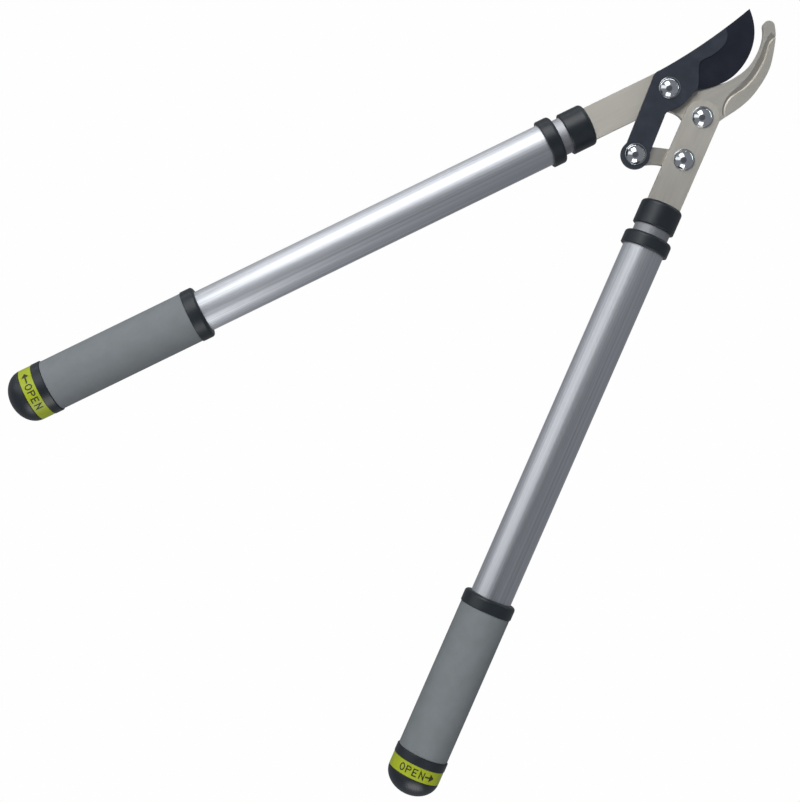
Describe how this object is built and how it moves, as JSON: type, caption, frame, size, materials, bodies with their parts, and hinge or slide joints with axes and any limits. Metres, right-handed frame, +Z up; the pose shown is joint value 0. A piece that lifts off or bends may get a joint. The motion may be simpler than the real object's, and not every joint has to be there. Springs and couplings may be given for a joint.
{
  "type": "telescopic bypass lopper",
  "caption": "Telescopic bypass lopper: black coated blade on a compound lever-and-link head, steel hook, twist-lock aluminium handles, soft grey grips with lime direction bands.",
  "frame": {"origin": "on the surface the tool lies on, below the middle of its bounding box, handles retracted and jaws part open", "axes": "+Z up, out of the plane of the plates; +Y halfway between the handles, from the grips to the jaws; +X to the right-hand handle"},
  "size_m": [0.4454, 0.6133, 0.0411],
  "materials": {
    "black_coating": "matt non-stick coating on ground carbon steel",
    "satin_steel": "satin nickel plate, fine blasted grain",
    "chrome": "polished chrome plate",
    "zinc_steel": "bright zinc plate",
    "aluminium": "drawn and clear anodised, satin",
    "dark_plastic": "moulded glass-filled nylon, fine spark texture",
    "grey_grip": "soft-touch thermoplastic rubber, matt",
    "lime_plastic": "moulded, semi-gloss, printed",
    "natural_plastic": "natural acetal, unpainted"
  },
  "bodies": {
    "hook_arm": {"hook_plate": "satin_steel", "blade_pivot_bolt": "chrome", "blade_pivot_washer": "zinc_steel", "blade_pivot_nut": "zinc_steel", "handle_pivot_bolt": "chrome", "handle_pivot_washer": "zinc_steel", "handle_pivot_nut": "zinc_steel", "left_ferrule": "dark_plastic", "left_tang_plug": "natural_plastic", "left_tang_rivet": "zinc_steel", "left_inner_tube": "aluminium", "left_lock_plug": "natural_plastic", "left_lock_stud": "zinc_steel"},
    "handle_arm": {"right_tang": "satin_steel", "link_pivot_bolt": "chrome", "link_pivot_washer": "zinc_steel", "link_pivot_nut": "zinc_steel", "right_ferrule": "dark_plastic", "right_tang_plug": "natural_plastic", "right_tang_rivet": "zinc_steel", "right_inner_tube": "aluminium", "right_lock_plug": "natural_plastic", "right_lock_stud": "zinc_steel"},
    "blade": {"blade": "black_coating", "tail_pivot_bolt": "chrome", "tail_pivot_washer": "zinc_steel", "tail_pivot_nut": "zinc_steel"},
    "link": {"link": "satin_steel"},
    "left_lock": {"left_expander": "natural_plastic"},
    "left_cone": {"left_cone_nut": "natural_plastic"},
    "left_outer": {"left_outer_tube": "aluminium", "left_guide_bush": "dark_plastic", "left_grip_core": "dark_plastic", "left_grip_sleeve": "grey_grip", "left_direction_band": "lime_plastic", "left_end_cap": "dark_plastic"},
    "right_lock": {"right_expander": "natural_plastic"},
    "right_cone": {"right_cone_nut": "natural_plastic"},
    "right_outer": {"right_outer_tube": "aluminium", "right_guide_bush": "dark_plastic", "right_grip_core": "dark_plastic", "right_grip_sleeve": "grey_grip", "right_direction_band": "lime_plastic", "right_end_cap": "dark_plastic"}
  },
  "joints": [
    {"name": "handle_pivot", "type": "hinge", "parent": "hook_arm", "child": "handle_arm", "pos_m": [0.01687, 0.21655, 0.02055], "axis": [0, 0, 1], "range_deg": [-22.5, 38]},
    {"name": "blade_pivot", "type": "hinge", "parent": "hook_arm", "child": "blade", "pos_m": [-0.01623, 0.21525, 0.02055], "axis": [0, 0, 1], "range_deg": [-14.11, 23.8]},
    {"name": "link_pivot", "type": "hinge", "parent": "handle_arm", "child": "link", "pos_m": [0.02894, 0.1837, 0.02055], "axis": [0, 0, 1], "range_deg": [-33.87, 20.07]},
    {"name": "left_twist", "type": "hinge", "parent": "hook_arm", "child": "left_lock", "pos_m": [-0.1789, -0.21888, 0.02055], "axis": [-0.3448, -0.9387, 0], "range_deg": [0, 180]},
    {"name": "left_cone_travel", "type": "slide", "parent": "left_lock", "child": "left_cone", "axis": [0.3448, 0.9387, 0], "range_m": [0, 0.00102]},
    {"name": "left_extend", "type": "slide", "parent": "left_lock", "child": "left_outer", "axis": [-0.3448, -0.9387, 0], "range_m": [0, 0.27]},
    {"name": "right_twist", "type": "hinge", "parent": "handle_arm", "child": "right_lock", "pos_m": [0.1789, -0.22453, 0.02055], "axis": [-0.3448, 0.9387, 0], "range_deg": [0, 180]},
    {"name": "right_cone_travel", "type": "slide", "parent": "right_lock", "child": "right_cone", "axis": [-0.3448, 0.9387, 0], "range_m": [0, 0.00102]},
    {"name": "right_extend", "type": "slide", "parent": "right_lock", "child": "right_outer", "axis": [0.3448, -0.9387, 0], "range_m": [0, 0.27]}
  ],
  "couplings": [
    {"joint": "blade_pivot", "follows": "handle_pivot", "ratio": 0.625},
    {"joint": "link_pivot", "follows": "handle_pivot", "ratio": -0.89},
    {"joint": "left_cone_travel", "follows": "left_twist", "m_per_rad": 0.00031831},
    {"joint": "right_cone_travel", "follows": "right_twist", "m_per_rad": 0.00031831}
  ]
}
